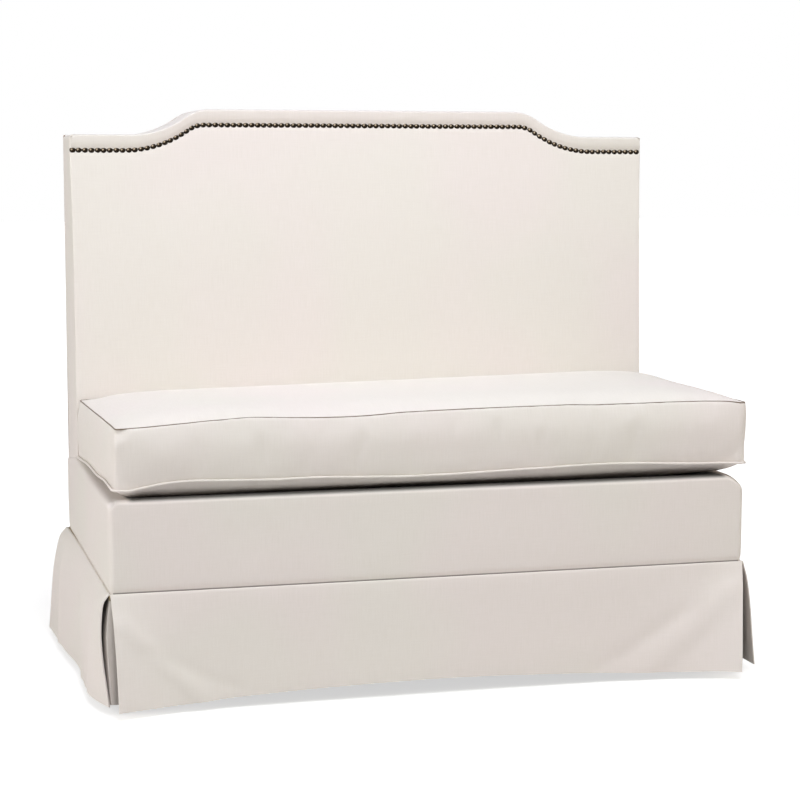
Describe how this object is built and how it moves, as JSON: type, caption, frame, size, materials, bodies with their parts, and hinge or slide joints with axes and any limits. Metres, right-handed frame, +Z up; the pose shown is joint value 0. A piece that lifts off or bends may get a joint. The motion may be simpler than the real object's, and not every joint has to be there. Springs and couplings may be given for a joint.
{
  "type": "upholstered banquette bench",
  "caption": "Upholstered banquette bench with a shaped high back, nailhead trim, a loose box cushion and a pleated skirt over levelling feet.",
  "frame": {"origin": "on the floor under the middle of the skirt's footprint", "axes": "+Z up, +X to the sitter's left along the seat, the front faces -Y"},
  "size_m": [1.312, 0.82, 1.097],
  "materials": {
    "upholstery_cloth": "matte",
    "dust_cloth": "matte",
    "foam": "matte",
    "fibre_wrap": "matte",
    "insulator_felt": "matte",
    "frame_wood": "matte",
    "plywood": "matte",
    "hardboard": "matte",
    "leg_wood": "satin",
    "spring_steel": "satin",
    "zinc_steel": "satin",
    "nail_metal": "satin",
    "zip_cloth": "matte",
    "zip_nylon": "satin",
    "zip_metal": "satin",
    "glide_plastic": "matte",
    "tack_strip": "matte"
  },
  "bodies": {
    "root": {"frame_screws": "zinc_steel", "front_rail": "frame_wood", "rear_rail": "frame_wood", "spring_rail": "frame_wood", "left_side_panel": "plywood", "right_side_panel": "plywood", "seat_stretchers": "frame_wood", "leg_front_left": "leg_wood", "leg_front_right": "leg_wood", "leg_rear_left": "leg_wood", "leg_rear_right": "leg_wood", "corner_blocks": "frame_wood", "leg_bolts": "zinc_steel", "leg_bolt_nuts": "zinc_steel", "glide_sockets": "zinc_steel", "back_posts": "frame_wood", "back_cross_rail": "frame_wood", "rear_crest_board": "plywood", "crest_ribs": "frame_wood", "inside_back_board": "plywood", "crest_top_strip": "plywood", "nailing_strip": "frame_wood", "outside_back_board": "hardboard", "outside_back_cover": "upholstery_cloth", "back_edge_padding": "fibre_wrap", "rail_padding": "fibre_wrap", "dust_cover": "dust_cloth", "seat_springs": "spring_steel", "spring_clips": "spring_steel", "spring_insulator": "insulator_felt", "deck_cover": "upholstery_cloth", "deck_foam": "foam", "inside_back_cover": "upholstery_cloth", "back_foam": "foam", "nailhead_trim": "nail_metal", "skirt_tack_strip": "tack_strip", "skirt_front": "upholstery_cloth", "skirt_rear": "upholstery_cloth", "skirt_left": "upholstery_cloth", "skirt_right": "upholstery_cloth", "skirt_pleats": "upholstery_cloth"},
    "seat_cushion": {"cushion_top_cover": "upholstery_cloth", "cushion_bottom_cover": "upholstery_cloth", "cushion_boxing": "upholstery_cloth", "cushion_foam": "foam", "cushion_fibre_wrap": "fibre_wrap", "cushion_welts": "upholstery_cloth", "zip_tape": "zip_cloth", "zip_chain": "zip_nylon"},
    "zip_slider": {"zip_slider": "zip_metal"},
    "zip_pull": {"zip_pull": "zip_metal"},
    "glide_front_left": {"glide_pad_front_left": "glide_plastic"},
    "stem_front_left": {"glide_stem_front_left": "zinc_steel"},
    "glide_front_right": {"glide_pad_front_right": "glide_plastic"},
    "stem_front_right": {"glide_stem_front_right": "zinc_steel"},
    "glide_rear_left": {"glide_pad_rear_left": "glide_plastic"},
    "stem_rear_left": {"glide_stem_rear_left": "zinc_steel"},
    "glide_rear_right": {"glide_pad_rear_right": "glide_plastic"},
    "stem_rear_right": {"glide_stem_rear_right": "zinc_steel"}
  },
  "joints": [
    {"name": "cushion_lift", "type": "slide", "parent": "root", "child": "seat_cushion", "axis": [0, 0, 1], "range_m": [0, 0.3]},
    {"name": "zip_slide", "type": "slide", "parent": "seat_cushion", "child": "zip_slider", "axis": [1, 0, 0], "range_m": [0, 0.98]},
    {"name": "pull_hinge", "type": "hinge", "parent": "zip_slider", "child": "zip_pull", "pos_m": [-0.488, 0.17944, 0.467], "axis": [0, 0, 1], "range_deg": [0, 10]},
    {"name": "glide_travel_front_left", "type": "slide", "parent": "root", "child": "glide_front_left", "axis": [0, 0, -1], "range_m": [0, 0.012]},
    {"name": "glide_turn_front_left", "type": "hinge", "parent": "glide_front_left", "child": "stem_front_left", "pos_m": [-0.5705, -0.3105, 0.01], "axis": [0, 0, -1], "range_deg": [0, 3420]},
    {"name": "glide_travel_front_right", "type": "slide", "parent": "root", "child": "glide_front_right", "axis": [0, 0, -1], "range_m": [0, 0.012]},
    {"name": "glide_turn_front_right", "type": "hinge", "parent": "glide_front_right", "child": "stem_front_right", "pos_m": [0.5705, -0.3105, 0.01], "axis": [0, 0, -1], "range_deg": [0, 3420]},
    {"name": "glide_travel_rear_left", "type": "slide", "parent": "root", "child": "glide_rear_left", "axis": [0, 0, -1], "range_m": [0, 0.012]},
    {"name": "glide_turn_rear_left", "type": "hinge", "parent": "glide_rear_left", "child": "stem_rear_left", "pos_m": [-0.5705, 0.3145, 0.01], "axis": [0, 0, -1], "range_deg": [0, 3420]},
    {"name": "glide_travel_rear_right", "type": "slide", "parent": "root", "child": "glide_rear_right", "axis": [0, 0, -1], "range_m": [0, 0.012]},
    {"name": "glide_turn_rear_right", "type": "hinge", "parent": "glide_rear_right", "child": "stem_rear_right", "pos_m": [0.5705, 0.3145, 0.01], "axis": [0, 0, -1], "range_deg": [0, 3420]}
  ],
  "couplings": [
    {"joint": "glide_travel_front_left", "follows": "glide_turn_front_left", "m_per_rad": 0.00019894},
    {"joint": "glide_travel_front_right", "follows": "glide_turn_front_right", "m_per_rad": 0.00019894},
    {"joint": "glide_travel_rear_left", "follows": "glide_turn_rear_left", "m_per_rad": 0.00019894},
    {"joint": "glide_travel_rear_right", "follows": "glide_turn_rear_right", "m_per_rad": 0.00019894}
  ]
}
